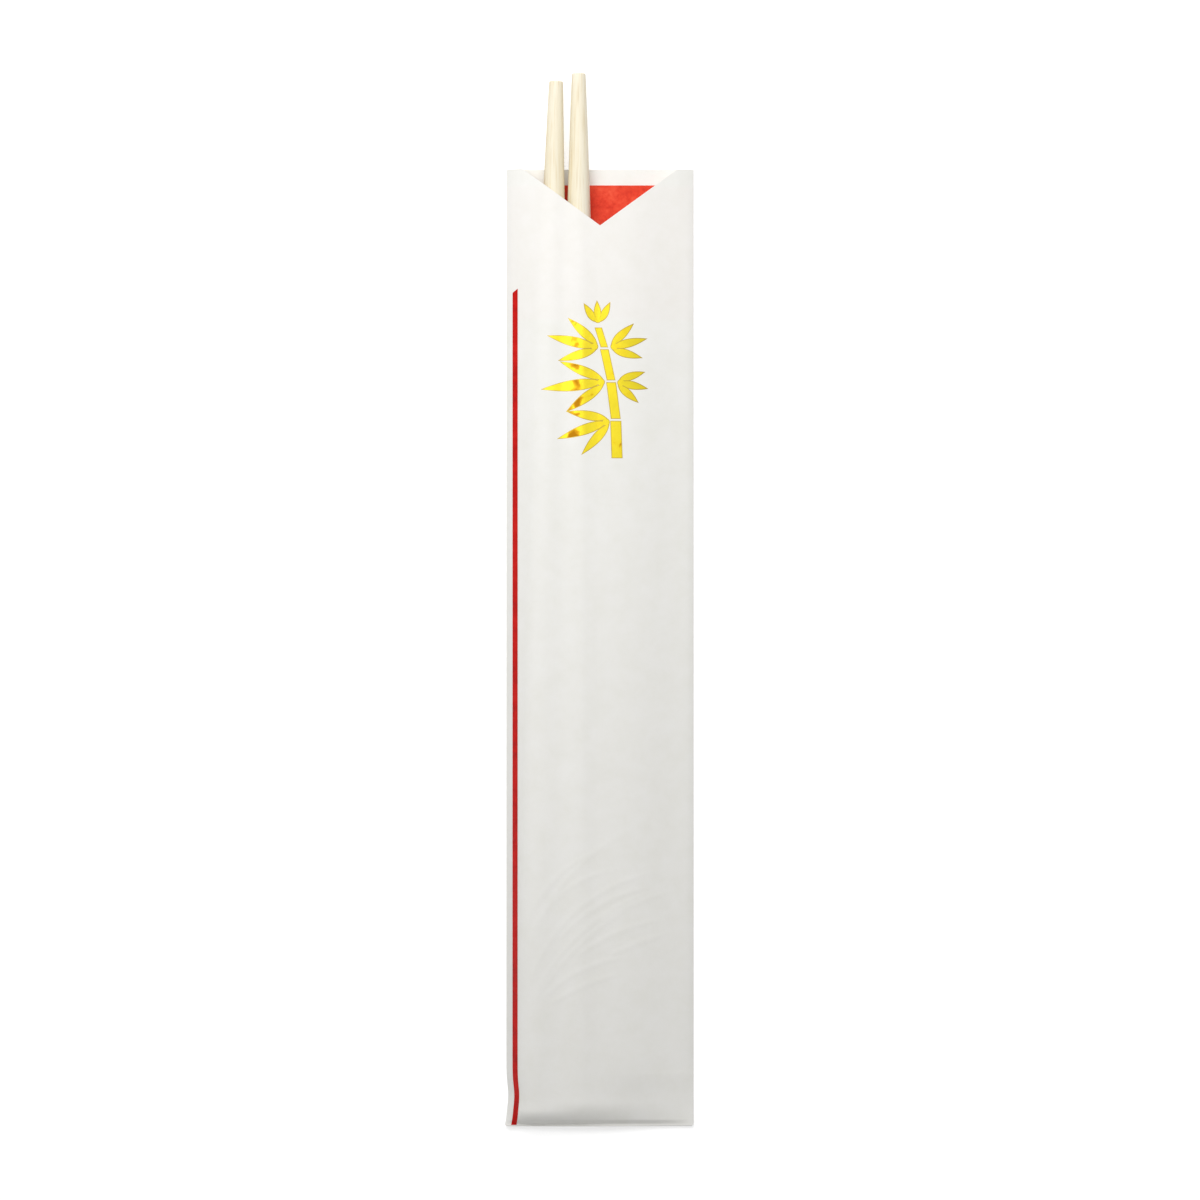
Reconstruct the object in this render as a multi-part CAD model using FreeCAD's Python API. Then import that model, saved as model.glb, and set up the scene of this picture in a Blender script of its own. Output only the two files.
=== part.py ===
import FreeCAD, Part
import math
import os

# A pair of bamboo table chopsticks in an open paper sleeve, lying on the sleeve's back.
# Each stick is turned round and tapers to both ends. The sleeve is one folded white sheet.
# Its front has a V cut at the mouth, its side lap is glued inside the back, and its foot is
# folded up over the back. Printed on it are a red field inside the mouth, a thin red stripe
# along the left edge and a sprig of bamboo in gold foil.
# Millimetres. X runs across the sleeve, Y along it towards the mouth, Z up from the table.

# The sticks
STICK_LENGTH = 240.0
STICK_BODY_DIAMETER = 6.4
STICK_TIP_DIAMETER = 3.3
STICK_TAPER_ANGLE = 1.9
STICK_BLEND_RADIUS = 850.0
STICK_END_ROUND = 0.35

# How the pair lies
LEFT_STICK_FROM_EDGE = 11.7
LEFT_STICK_LEAN = 1.1
PAIR_ANGLE = 1.2
PAIR_GAP = 0.18
FOOT_ROOM = 5.1
PAIR_STAGGER = 1.8

# The paper sleeve
SLEEVE_WIDTH = 44.0
SLEEVE_LENGTH = 224.5
PAPER = 0.15
PAPER_TO_STICK_GAP = 0.12
PAPER_BEND_RADIUS = 6.0
SIDE_FOLD_INNER_RADIUS = 0.05
FOOT_FOLD_ROOM = 0.35
NOTCH_HALF_WIDTH = 18.2
NOTCH_DEPTH = 13.4
SIDE_LAP_WIDTH = 7.5
SIDE_LAP_EDGE_INSET = 1.0
FOOT_FLAP_LENGTH = 12.0
FOOT_FLAP_SIDE_INSET = 0.7
FOOT_FLAP_SIDE_SLANT = 1.8
CUT_EDGE_GAP = 0.2

# The print
INK = 0.06
FIELD_BELOW_MOUTH = 3.7
FIELD_LENGTH = 32.0
FIELD_SIDE_MARGIN = 1.4
STRIPE_FROM_EDGE = 1.5
STRIPE_WIDTH = 1.2
STRIPE_BELOW_MOUTH = 29.0
STRIPE_SLANT = 0.95
SPRIG_BELOW_MOUTH = 49.3
SPRIG_OFF_MIDDLE = -1.2
SPRIG_HEIGHT = 37.6
SPRIG_STEM_WIDTH = 2.6
SPRIG_JOINT_GAP = 0.45
LEAF_WIDTH = 2.4
LEAF_FROM_STEM = 0.9
LEAF_FAN_ANGLE = 29.0

# Worked out from the sizes above
BODY_RADIUS = STICK_BODY_DIAMETER / 2
TIP_RADIUS = STICK_TIP_DIAMETER / 2
TAPER = math.radians(STICK_TAPER_ANGLE)
BLEND_LENGTH = STICK_BLEND_RADIUS * math.sin(TAPER)
BLEND_RISE = STICK_BLEND_RADIUS * (1 - math.cos(TAPER))
CONE_LENGTH = (BODY_RADIUS - TIP_RADIUS - BLEND_RISE) / math.tan(TAPER)
TAPER_LENGTH = CONE_LENGTH + BLEND_LENGTH
AXIS_Z = PAPER + PAPER_TO_STICK_GAP + BODY_RADIUS

OVERALL_LENGTH = max(SLEEVE_LENGTH, FOOT_ROOM + PAIR_STAGGER + STICK_LENGTH)
FOOT_Y = -OVERALL_LENGTH / 2
MOUTH_Y = FOOT_Y + SLEEVE_LENGTH
LEFT_END_Y = FOOT_Y + FOOT_ROOM
RIGHT_END_Y = LEFT_END_Y + PAIR_STAGGER

# Each stick's axis: its place across at its mouth end, and its drift across for each unit along
LEFT_DRIFT = math.tan(math.radians(LEFT_STICK_LEAN))
RIGHT_DRIFT = math.tan(math.radians(LEFT_STICK_LEAN - PAIR_ANGLE))
LEFT_MOUTH_X = LEFT_STICK_FROM_EDGE - SLEEVE_WIDTH / 2
PAIR_STEP = STICK_BODY_DIAMETER + PAIR_GAP - TAPER_LENGTH * (LEFT_DRIFT - RIGHT_DRIFT)
RIGHT_MOUTH_X = LEFT_MOUTH_X + PAIR_STEP

FOLD_X = SLEEVE_WIDTH / 2 - PAPER - SIDE_FOLD_INNER_RADIUS
FOLD_Z = PAPER + SIDE_FOLD_INNER_RADIUS
LAP_OUTER_X = SLEEVE_WIDTH / 2 - SIDE_LAP_EDGE_INSET
LAP_INNER_X = LAP_OUTER_X - SIDE_LAP_WIDTH
PAST = 5.0


def stick_radius(from_end):
    """Radius of a stick at a distance from its nearer end."""
    if from_end <= CONE_LENGTH:
        return TIP_RADIUS + from_end * math.tan(TAPER)
    left = max(TAPER_LENGTH - from_end, 0)
    return BODY_RADIUS - STICK_BLEND_RADIUS + math.sqrt(STICK_BLEND_RADIUS ** 2 - left ** 2)


def half_stick_edges(side):
    """Outline of the half of a stick on one side of its middle, from its end face to its middle."""
    half = STICK_LENGTH / 2

    def at(radius, from_end):
        return FreeCAD.Vector(radius, side * (half - from_end), 0)

    rim = STICK_END_ROUND * (1 - math.sqrt(0.5))
    face_edge = at(TIP_RADIUS - STICK_END_ROUND, 0)
    rim_middle = at(TIP_RADIUS - rim, rim)
    shoulder = at(stick_radius(STICK_END_ROUND), STICK_END_ROUND)
    cone_end = at(stick_radius(CONE_LENGTH), CONE_LENGTH)
    blend_middle = at(stick_radius(CONE_LENGTH + BLEND_LENGTH / 2), CONE_LENGTH + BLEND_LENGTH / 2)
    body_end = at(BODY_RADIUS, TAPER_LENGTH)
    return [
        Part.LineSegment(at(0, 0), face_edge).toShape(),
        Part.Arc(face_edge, rim_middle, shoulder).toShape(),
        Part.LineSegment(shoulder, cone_end).toShape(),
        Part.Arc(cone_end, blend_middle, body_end).toShape(),
        Part.LineSegment(body_end, at(BODY_RADIUS, half)).toShape(),
    ]


def chopstick(mouth_x, drift, foot_end_y):
    """A stick lying in the sleeve, from its foot end, with its axis drifting across as it goes."""
    half = STICK_LENGTH / 2
    axis = Part.LineSegment(FreeCAD.Vector(0, -half, 0), FreeCAD.Vector(0, half, 0)).toShape()
    edges = half_stick_edges(1) + half_stick_edges(-1) + [axis]
    outline = Part.Wire(Part.__sortEdges__(edges))
    stick = Part.Face(outline).revolve(FreeCAD.Vector(0, 0, 0), FreeCAD.Vector(0, 1, 0), 360)
    stick.rotate(FreeCAD.Vector(0, 0, 0), FreeCAD.Vector(0, 0, 1), -math.degrees(math.atan(drift)))
    stick.translate(FreeCAD.Vector(mouth_x - half * drift, foot_end_y + half, AXIS_Z))
    return stick


def crest(y, mouth_x, drift, foot_end_y):
    """Where the front passes over one stick at y: its place across, and its inner height."""
    from_foot_end = y - foot_end_y
    x = mouth_x - (STICK_LENGTH - from_foot_end) * drift
    if from_foot_end >= 0:
        nearer = min(from_foot_end, max(STICK_LENGTH - from_foot_end, 0))
        return x, AXIS_Z + stick_radius(nearer) + PAPER_TO_STICK_GAP
    end_height = AXIS_Z + TIP_RADIUS + PAPER_TO_STICK_GAP
    foot_height = PAPER + FOOT_FOLD_ROOM
    return x, end_height + (end_height - foot_height) * from_foot_end / (foot_end_y - FOOT_Y)


def top_tangent(first, first_radius, second, second_radius):
    """Touching points of the line that lies on top of two circles, the first on the left."""
    across = second[0] - first[0]
    up = second[1] - first[1]
    reach = math.hypot(across, up)
    normal = math.atan2(up, across) + math.acos((first_radius - second_radius) / reach)
    on_first = (first[0] + first_radius * math.cos(normal), first[1] + first_radius * math.sin(normal))
    on_second = (second[0] + second_radius * math.cos(normal), second[1] + second_radius * math.sin(normal))
    return on_first, on_second


def section(y, offset):
    """The sleeve's section at y: its inner surface, moved outwards by an offset."""
    left_x, left_z = crest(y, LEFT_MOUTH_X, LEFT_DRIFT, LEFT_END_Y)
    right_x, right_z = crest(y, RIGHT_MOUTH_X, RIGHT_DRIFT, RIGHT_END_Y)
    circles = [
        ((-FOLD_X, FOLD_Z), SIDE_FOLD_INNER_RADIUS + offset),
        ((left_x, left_z - PAPER_BEND_RADIUS), PAPER_BEND_RADIUS + offset),
        ((right_x, right_z - PAPER_BEND_RADIUS), PAPER_BEND_RADIUS + offset),
        ((FOLD_X, FOLD_Z), SIDE_FOLD_INNER_RADIUS + offset),
    ]
    runs = [top_tangent(*first, *second) for first, second in zip(circles, circles[1:])]
    back_z = PAPER - offset

    def point(place):
        return FreeCAD.Vector(place[0], y, place[1])

    def line(start, end):
        return Part.LineSegment(point(start), point(end)).toShape()

    def arc(circle, start, end):
        (x, z), radius = circle
        start_angle = math.atan2(start[1] - z, start[0] - x)
        end_angle = math.atan2(end[1] - z, end[0] - x)
        if end_angle > start_angle:
            end_angle -= 2 * math.pi
        middle = (start_angle + end_angle) / 2
        through = (x + radius * math.cos(middle), z + radius * math.sin(middle))
        return Part.Arc(point(start), point(through), point(end)).toShape()

    left_back = (-FOLD_X, back_z)
    right_back = (FOLD_X, back_z)
    return Part.Wire([
        arc(circles[0], left_back, runs[0][0]),
        line(runs[0][0], runs[0][1]),
        arc(circles[1], runs[0][1], runs[1][0]),
        line(runs[1][0], runs[1][1]),
        arc(circles[2], runs[1][1], runs[2][0]),
        line(runs[2][0], runs[2][1]),
        arc(circles[3], runs[2][1], right_back),
        line(right_back, left_back),
    ])


def stations():
    """Places along the sleeve where its section is set out, from its foot to just past its mouth."""
    steps = 3
    from_ends = [0]
    for step in range(1, steps + 1):
        from_ends.append(CONE_LENGTH * step / steps)
        from_ends.append(CONE_LENGTH + BLEND_LENGTH * step / steps)
    marks = [FOOT_Y, LEFT_END_Y]
    for from_end in from_ends:
        marks.append(RIGHT_END_Y + from_end)
        marks.append(LEFT_END_Y + STICK_LENGTH - from_end)
    inside = sorted(mark for mark in marks if mark < MOUTH_Y - PAPER)
    return inside + [MOUTH_Y, MOUTH_Y + PAST]


def filled(offset):
    """The form that fills the sleeve out to an offset from its inner surface."""
    return Part.makeLoft([section(y, offset) for y in stations()], True, True)


def block(x_range, y_range, z_range):
    """A box between two values on each axis."""
    ranges = (x_range, y_range, z_range)
    corner = FreeCAD.Vector(*[low for low, high in ranges])
    return Part.makeBox(*[high - low for low, high in ranges], corner)


def prism(corners, z_range):
    """An upright prism on a flat outline."""
    points = [FreeCAD.Vector(x, y, z_range[0]) for x, y in corners]
    face = Part.Face(Part.makePolygon(points + points[:1]))
    return face.extrude(FreeCAD.Vector(0, 0, z_range[1] - z_range[0]))


WHOLE_X = (-SLEEVE_WIDTH, SLEEVE_WIDTH)
WHOLE_Z = (-STICK_BODY_DIAMETER, 3 * STICK_BODY_DIAMETER)
LOWER_LAYER = (0, PAPER)
UPPER_LAYER = (PAPER, 2 * PAPER)
FRONT_Z = (2 * PAPER, WHOLE_Z[1])


def notch():
    """The V that is cut from the front at the mouth."""
    slope = NOTCH_DEPTH / NOTCH_HALF_WIDTH
    reach = NOTCH_HALF_WIDTH + PAST / slope
    corners = [(0, MOUTH_Y - NOTCH_DEPTH), (reach, MOUTH_Y + PAST), (-reach, MOUTH_Y + PAST)]
    return prism(corners, FRONT_Z)


def foot_flap_outline(margin):
    """Outline of the foot flap on the back, grown by a margin."""
    root = SLEEVE_WIDTH / 2 - FOOT_FLAP_SIDE_INSET + margin
    end = root - FOOT_FLAP_SIDE_SLANT
    end_y = FOOT_Y + FOOT_FLAP_LENGTH + margin
    return [(-root, FOOT_Y), (root, FOOT_Y), (end, end_y), (-end, end_y)]


def paper_sleeve(outer, inner):
    """The whole folded sheet: two panels, the side lap inside the back, and the foot flap."""
    flap_y = FOOT_Y + FOOT_FLAP_LENGTH + CUT_EDGE_GAP
    cavity = inner.common(block(WHOLE_X, (FOOT_Y + PAPER, MOUTH_Y + 2 * PAST), WHOLE_Z))
    sheet = outer.common(block(WHOLE_X, (FOOT_Y, MOUTH_Y), WHOLE_Z)).cut(cavity).cut(notch())

    over_flap = block((-FOLD_X, FOLD_X), (FOOT_Y, flap_y + SIDE_LAP_EDGE_INSET), UPPER_LAYER)
    side_lap = block((LAP_INNER_X, FOLD_X), (flap_y, MOUTH_Y), UPPER_LAYER)
    sheet = sheet.fuse(over_flap.fuse(side_lap).common(inner))

    back_edge = block((LAP_OUTER_X, LAP_OUTER_X + CUT_EDGE_GAP), (flap_y, MOUTH_Y + PAST), LOWER_LAYER)
    flap = prism(foot_flap_outline(0), LOWER_LAYER)
    flap_edge = prism(foot_flap_outline(CUT_EDGE_GAP), LOWER_LAYER).cut(flap)
    return sheet.cut(back_edge).cut(flap_edge).removeSplitter()


def red_field():
    """The red printed inside the back, below the mouth."""
    top = MOUTH_Y - FIELD_BELOW_MOUTH
    across = (-SLEEVE_WIDTH / 2 + FIELD_SIDE_MARGIN, LAP_INNER_X)
    return block(across, (top - FIELD_LENGTH, top), (PAPER, PAPER + INK))


def red_stripe(ink_film):
    """The thin line along the left edge, from its slanted top to the foot."""
    left = -SLEEVE_WIDTH / 2 + STRIPE_FROM_EDGE
    right = left + STRIPE_WIDTH
    top = MOUTH_Y - STRIPE_BELOW_MOUTH
    corners = [(left, FOOT_Y), (right, FOOT_Y), (right, top + STRIPE_SLANT), (left, top)]
    return prism(corners, FRONT_Z).common(ink_film)


def leaf(base, direction, length):
    """A bamboo leaf as an upright prism, slender in its body and drawn out to a point."""
    along = FreeCAD.Vector(math.cos(math.radians(direction)), math.sin(math.radians(direction)), 0)
    across = FreeCAD.Vector(-along.y, along.x, 0)
    belly = LEAF_WIDTH * (0.35 + length / SPRIG_HEIGHT)
    start = base + along * LEAF_FROM_STEM

    def side(sign):
        curve = Part.BezierCurve()
        curve.setPoles([
            start,
            start + along * (0.22 * length) + across * (sign * belly),
            start + along * (0.55 * length) + across * (sign * belly),
            start + along * length,
        ])
        return curve.toShape()

    return Part.Face(Part.Wire([side(1), side(-1)])).extrude(FreeCAD.Vector(0, 0, FRONT_Z[1] - FRONT_Z[0]))


def gold_sprig(ink_film):
    """A sprig of bamboo in foil: a jointed stem that leans a little, with leaves in threes."""
    foot_y = MOUTH_Y - SPRIG_BELOW_MOUTH - SPRIG_HEIGHT / 2
    # The stem's joints from its foot up, in shares of the height
    stem_places = [(0.138, 0.0), (0.130, 0.245), (0.101, 0.485), (0.059, 0.69), (0.021, 0.825)]
    # Bunches of leaves: the joint, the side of the stem, the direction, and the length's share
    bunches = [
        (1, -1, 199, 0.345),
        (2, -1, 187, 0.400),
        (2, 1, -12, 0.195),
        (3, -1, 167, 0.325),
        (3, 1, 14, 0.235),
        (4, 0, 93, 0.140),
    ]
    joints = []
    for across, up in stem_places:
        joints.append((SPRIG_OFF_MIDDLE + across * SPRIG_HEIGHT, foot_y + up * SPRIG_HEIGHT))

    gap = SPRIG_JOINT_GAP / 2
    stem = []
    for number, ((low_x, low_y), (high_x, high_y)) in enumerate(zip(joints, joints[1:])):
        half = SPRIG_STEM_WIDTH / 2 * (1 - 0.11 * number)
        corners = [
            (low_x - half, low_y + gap),
            (low_x + half, low_y + gap),
            (high_x + half, high_y - gap),
            (high_x - half, high_y - gap),
        ]
        stem.append(prism(corners, FRONT_Z))

    leaves = []
    for joint, side, direction, share in bunches:
        x, y = joints[joint]
        base = FreeCAD.Vector(x + side * SPRIG_STEM_WIDTH / 4, y, FRONT_Z[0])
        length = share * SPRIG_HEIGHT
        outer_length = 0.6 * length + LEAF_WIDTH
        leaves.append(leaf(base, direction, length))
        leaves.append(leaf(base, direction - LEAF_FAN_ANGLE, outer_length))
        leaves.append(leaf(base, direction + LEAF_FAN_ANGLE, outer_length))
    return stem[0].multiFuse(stem[1:] + leaves).common(ink_film)


os.makedirs("parts", exist_ok=True)
paper_inner = filled(0)
paper_outer = filled(PAPER)
film = filled(PAPER + INK).cut(paper_outer)
nodes = {
    "paper_sleeve": paper_sleeve(paper_outer, paper_inner),
    "left_chopstick": chopstick(LEFT_MOUTH_X, LEFT_DRIFT, LEFT_END_Y),
    "right_chopstick": chopstick(RIGHT_MOUTH_X, RIGHT_DRIFT, RIGHT_END_Y),
    "red_field": red_field(),
    "red_stripe": red_stripe(film),
    "gold_sprig": gold_sprig(film),
}
for name, shape in nodes.items():
    shape.exportStep(f"parts/{name}.step")
    box = shape.optimalBoundingBox()
    corners = (box.XMin, box.XMax, box.YMin, box.YMax, box.ZMin, box.ZMax)
    print(name, len(shape.Solids), "solids", round(shape.Volume, 2), "mm3", shape.isValid(),
          [round(value, 3) for value in corners])
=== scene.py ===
import math
import bpy
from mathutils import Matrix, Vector, noise


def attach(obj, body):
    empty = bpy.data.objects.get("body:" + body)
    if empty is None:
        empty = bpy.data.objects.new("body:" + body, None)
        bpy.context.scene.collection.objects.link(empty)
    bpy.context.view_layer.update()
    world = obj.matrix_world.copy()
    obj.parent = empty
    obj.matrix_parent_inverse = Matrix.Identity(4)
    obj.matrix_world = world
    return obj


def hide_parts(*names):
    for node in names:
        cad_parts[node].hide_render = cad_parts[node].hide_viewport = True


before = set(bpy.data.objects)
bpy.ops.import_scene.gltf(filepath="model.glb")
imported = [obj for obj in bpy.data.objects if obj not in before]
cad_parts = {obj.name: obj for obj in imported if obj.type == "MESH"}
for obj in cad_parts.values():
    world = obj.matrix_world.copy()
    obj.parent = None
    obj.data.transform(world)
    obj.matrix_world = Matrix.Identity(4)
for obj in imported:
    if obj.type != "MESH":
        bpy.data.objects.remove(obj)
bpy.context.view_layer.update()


# The pair of chopsticks. Each is one round rod of solid bamboo, turned and sanded, thickest along its body
# and tapered alike to both ends, whose rims are eased. They lie loose in the sleeve, tips out of its mouth.
mm = 0.001
stick_length = 240 * mm
body_radius = 3.2 * mm
tip_radius = 1.65 * mm
rim_round = 0.35 * mm
taper = math.radians(1.9)
blend_radius = 850 * mm
cone_length = (body_radius - tip_radius - blend_radius * (1 - math.cos(taper))) / math.tan(taper)
taper_length = cone_length + blend_radius * math.sin(taper)
axis_height = 3.47 * mm
ring_step = 2.5 * mm
pith_ring, pith_depth = 0.45 * mm, 0.03 * mm
near_axis, pith_radius = 0.2 * mm, 0.5 * mm
hand_swell = 0.03 * mm
# Each stick: where its foot end lies, how far across its axis is at its tip end, and its lean
left_lie = (-118.35 * mm, -10.3 * mm, math.radians(1.1))
right_lie = (-116.55 * mm, -4.994 * mm, math.radians(-0.1))


def stick_radius(from_end):
    """Radius of a stick at a distance from its nearer end."""
    if from_end < rim_round:
        return tip_radius - rim_round + math.sqrt(rim_round ** 2 - (rim_round - from_end) ** 2)
    if from_end <= cone_length:
        return tip_radius + from_end * math.tan(taper)
    left = max(taper_length - from_end, 0)
    return body_radius - blend_radius + math.sqrt(blend_radius ** 2 - left ** 2)


def pick_faces(wanted):
    """In edit mode, select only the faces whose middle and normal pass."""
    bpy.ops.mesh.select_mode(type="FACE")
    bpy.ops.mesh.select_all(action="DESELECT")
    bpy.ops.object.mode_set(mode="OBJECT")
    for face in bpy.context.object.data.polygons:
        face.select = wanted(face.center, face.normal)
    bpy.ops.object.mode_set(mode="EDIT")


def settle_in_place():
    """Put the active piece's place, turn and size into its mesh."""
    bpy.ops.object.transform_apply(location=True, rotation=True, scale=True)


def smooth_shading(angle):
    """Shade the active piece smooth, but for its edges."""
    bpy.ops.object.shade_smooth_by_angle(angle=math.radians(angle))


def node(tree, kind, sockets=None, **settings):
    """Add a shader node, set it, and link or fill its inputs."""
    made = tree.nodes.new(kind)
    for name, value in settings.items():
        setattr(made, name, value)
    for name, value in (sockets or {}).items():
        if isinstance(value, bpy.types.NodeSocket):
            tree.links.new(value, made.inputs[name])
        else:
            made.inputs[name].default_value = value
    return made


def shown(red, green, blue):
    """A colour as it shows on a screen, 0 to 255, as the light that Blender works in."""
    light = []
    for part in (red / 255, green / 255, blue / 255):
        light.append(part / 12.92 if part <= 0.04045 else ((part + 0.055) / 1.055) ** 2.4)
    return (*light, 1)


def ramp(tree, value, stops):
    """A colour ramp over a value."""
    made = node(tree, "ShaderNodeValToRGB", {"Fac": value})
    marks = made.color_ramp.elements
    while len(marks) < len(stops):
        marks.new(0.5)
    for mark, (place, colour) in zip(marks, stops):
        mark.position = place
        mark.color = colour
    return made.outputs["Color"]


def finish_surface(tree, sockets):
    """End a material in one surface shader with these inputs."""
    surface = node(tree, "ShaderNodeBsdfPrincipled", sockets)
    node(tree, "ShaderNodeOutputMaterial", {"Surface": surface.outputs["BSDF"]})


def new_material(name):
    """An empty material and its node tree."""
    made = bpy.data.materials.new(name)
    made.use_nodes = True
    made.node_tree.nodes.clear()
    return made, made.node_tree


def sanded_bamboo():
    """Cream bamboo: fibres along the stick, whose cut ends show as dots, in pale cloudy tones."""
    made, tree = new_material("sanded_bamboo")
    place = node(tree, "ShaderNodeTexCoord").outputs["Object"]
    along = node(tree, "ShaderNodeMapping", {"Vector": place, "Scale": (1, 0.02, 1)}).outputs["Vector"]
    strands = node(tree, "ShaderNodeTexNoise", {"Vector": along, "Scale": 2600, "Detail": 3,
                                                "Roughness": 0.6})
    bundles = node(tree, "ShaderNodeTexVoronoi", {"Vector": along, "Scale": 1500, "Randomness": 1})
    flecks = node(tree, "ShaderNodeMapRange", {"Value": bundles.outputs["Distance"], "From Min": 0.06,
                                               "From Max": 0.24, "To Min": 1, "To Max": 0}).outputs["Result"]
    slow = node(tree, "ShaderNodeMapping", {"Vector": place, "Scale": (1, 0.12, 1)}).outputs["Vector"]
    clouds = node(tree, "ShaderNodeTexNoise", {"Vector": slow, "Scale": 170, "Detail": 2, "Roughness": 0.5})
    wood = ramp(tree, clouds.outputs["Fac"], [
        (0.3, shown(242, 228, 196)), (0.5, shown(248, 240, 218)), (0.72, shown(251, 245, 228))])
    streaks = ramp(tree, strands.outputs["Fac"], [
        (0.34, shown(236, 222, 190)), (0.5, shown(252, 249, 240)), (0.7, shown(255, 254, 250))])
    streaked = node(tree, "ShaderNodeMix", {"Factor": 0.5, "A": wood, "B": streaks},
                    data_type="RGBA", blend_type="MULTIPLY")
    fleck_share = node(tree, "ShaderNodeMath", {0: flecks, 1: 0.35}, operation="MULTIPLY").outputs["Value"]
    colour = node(tree, "ShaderNodeMix", {"Factor": fleck_share, "A": streaked.outputs["Result"],
                                          "B": shown(188, 152, 96)}, data_type="RGBA")
    rough = node(tree, "ShaderNodeMapRange", {"Value": strands.outputs["Fac"], "From Min": 0.3,
                                              "From Max": 0.7, "To Min": 0.62,
                                              "To Max": 0.48}).outputs["Result"]
    height = node(tree, "ShaderNodeMath", {0: strands.outputs["Fac"], 1: fleck_share}, operation="SUBTRACT")
    bump = node(tree, "ShaderNodeBump", {"Height": height.outputs["Value"], "Strength": 0.5,
                                         "Distance": 0.04 * mm})
    finish_surface(tree, {"Base Color": colour.outputs["Result"], "Roughness": rough,
                          "Normal": bump.outputs["Normal"], "Specular IOR Level": 0.35})
    return made


def turned_stick(name, cad_node, lie, bamboo):
    """Turn one stick from its foot end to its tip, then lay it in its place."""
    foot_end, tip_x, lean = lie
    rim = [rim_round * (1 - math.cos(math.radians(turn))) for turn in (22, 45, 68, 90)]
    near = [0] + rim + [step * ring_step for step in range(1, 48)]
    places = near + [stick_length / 2] + [stick_length - place for place in reversed(near)]
    bpy.ops.object.select_all(action="DESELECT")
    bpy.ops.mesh.primitive_circle_add(vertices=80, radius=stick_radius(0), fill_type="NGON",
                                      rotation=(math.radians(-90), 0, 0))
    stick = bpy.context.object
    stick.name = name
    settle_in_place()
    bpy.ops.object.mode_set(mode="EDIT")
    bpy.ops.mesh.select_mode(type="FACE")
    bpy.ops.mesh.select_all(action="SELECT")
    for before, place in zip(places, places[1:]):
        bpy.ops.mesh.extrude_region_move(TRANSFORM_OT_translate={"value": (0, place - before, 0)})
        swell = (stick_radius(min(place, stick_length - place))
                 / stick_radius(min(before, stick_length - before)))
        bpy.ops.transform.resize(value=(swell, 1, swell), center_override=(0, place, 0))
    bpy.ops.mesh.select_all(action="SELECT")
    bpy.ops.mesh.normals_make_consistent(inside=False)
    # The saw leaves each end a little hollow, with a pith mark in the middle
    pick_faces(lambda middle, normal: abs(normal.y) > 0.9 and math.hypot(middle.x, middle.z) < near_axis)
    bpy.ops.mesh.inset(thickness=pith_ring, depth=-pith_depth)
    bpy.ops.mesh.inset(thickness=pith_ring, depth=-pith_depth)
    bpy.ops.object.mode_set(mode="OBJECT")
    # A hand feels no lathe-true round: the rod swells and shrinks by a few hundredths along its length
    for vertex in stick.data.vertices:
        at = vertex.co
        swell = noise.noise(Vector((at.x * 160, at.y * 35 + foot_end * 900, at.z * 160))) * hand_swell
        out = Vector((at.x, 0, at.z))
        if out.length > pith_radius:
            vertex.co += out.normalized() * swell
    stick.location = (tip_x - stick_length * math.tan(lean), foot_end, axis_height)
    stick.rotation_euler = (0, 0, -lean)
    settle_in_place()
    smooth_shading(35)
    stick.data.materials.append(bamboo)
    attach(stick, "root")
    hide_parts(cad_node)


bamboo = sanded_bamboo()
turned_stick("left_turned_stick", "left_chopstick", left_lie, bamboo)
turned_stick("right_turned_stick", "right_chopstick", right_lie, bamboo)


# The sleeve. It is one die-cut sheet of white paper, folded at both sides round the pair. Its side lap is
# glued inside the back, its foot is folded up over the back and glued, and its front has a V cut at the
# mouth.
foot = -123.45 * mm
mouth = 101.05 * mm
sheet = 0.14 * mm
fold_x = 21.79 * mm
panel_edge = 20.9 * mm
back_z = sheet / 2
layer = 0.15 * mm
side_fold_rise = 0.25 * mm
pair_clearance = 0.12 * mm
bend_radius = 6 * mm
flap_length = 12 * mm
flap_root = 21.65 * mm
flap_end = 19.5 * mm
step_start, step_end = foot + 12.2 * mm, foot + 13.4 * mm
lap_above_foot = 1.7 * mm
notch_half = 18.2 * mm
notch_depth = 13.4 * mm
# The fold at the foot: its radius, the height of its middle, the front's height at it and over the sticks
foot_fold_radius = 0.175 * mm
foot_fold_middle = 0.245 * mm
foot_front = 0.42 * mm
foot_crest = 0.57 * mm
# How far the closed foot stands up and over what length, and how far before the sticks the paper falls
foot_stand, foot_stand_length = 1.8 * mm, 10 * mm
fall_gap = 1.1 * mm
# The left side near the foot: how far it is drawn in, how high up and over what reach, then its flat corner
drawn_in, drawn_in_up, drawn_in_reach = 0.41 * mm, 7.2 * mm, 3.4 * mm
spread_out, spread_out_reach = 0.42 * mm, 3.6 * mm
# The front's slack: between the sticks, beside them, at the side folds, all over and at the mouth's corners
valley_sag = 0.28 * mm
slack_bulge, slack_edge = 0.75 * mm, 19.6 * mm
left_soft_fold, right_soft_fold, soft_fold_reach = 0.55 * mm, 0.3 * mm, 0.6 * mm
waver = 0.16 * mm
corner_spring = 0.5 * mm


def ease(value, low, high):
    """A smooth step from 0 at low to 1 at high."""
    share = min(max((value - low) / (high - low), 0), 1)
    return share * share * (3 - 2 * share)


def foot_lift(x, y):
    """How far the closed foot stands up: the sticks' ends hold the paper apart, the fold lies between."""
    beside = 1 - 0.75 * ease(x, -3 * mm, 19 * mm) - 0.4 * ease(-x, 8 * mm, 22 * mm)
    return foot_stand * beside * max(1 - (y - foot) / foot_stand_length, 0) ** 2


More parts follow.
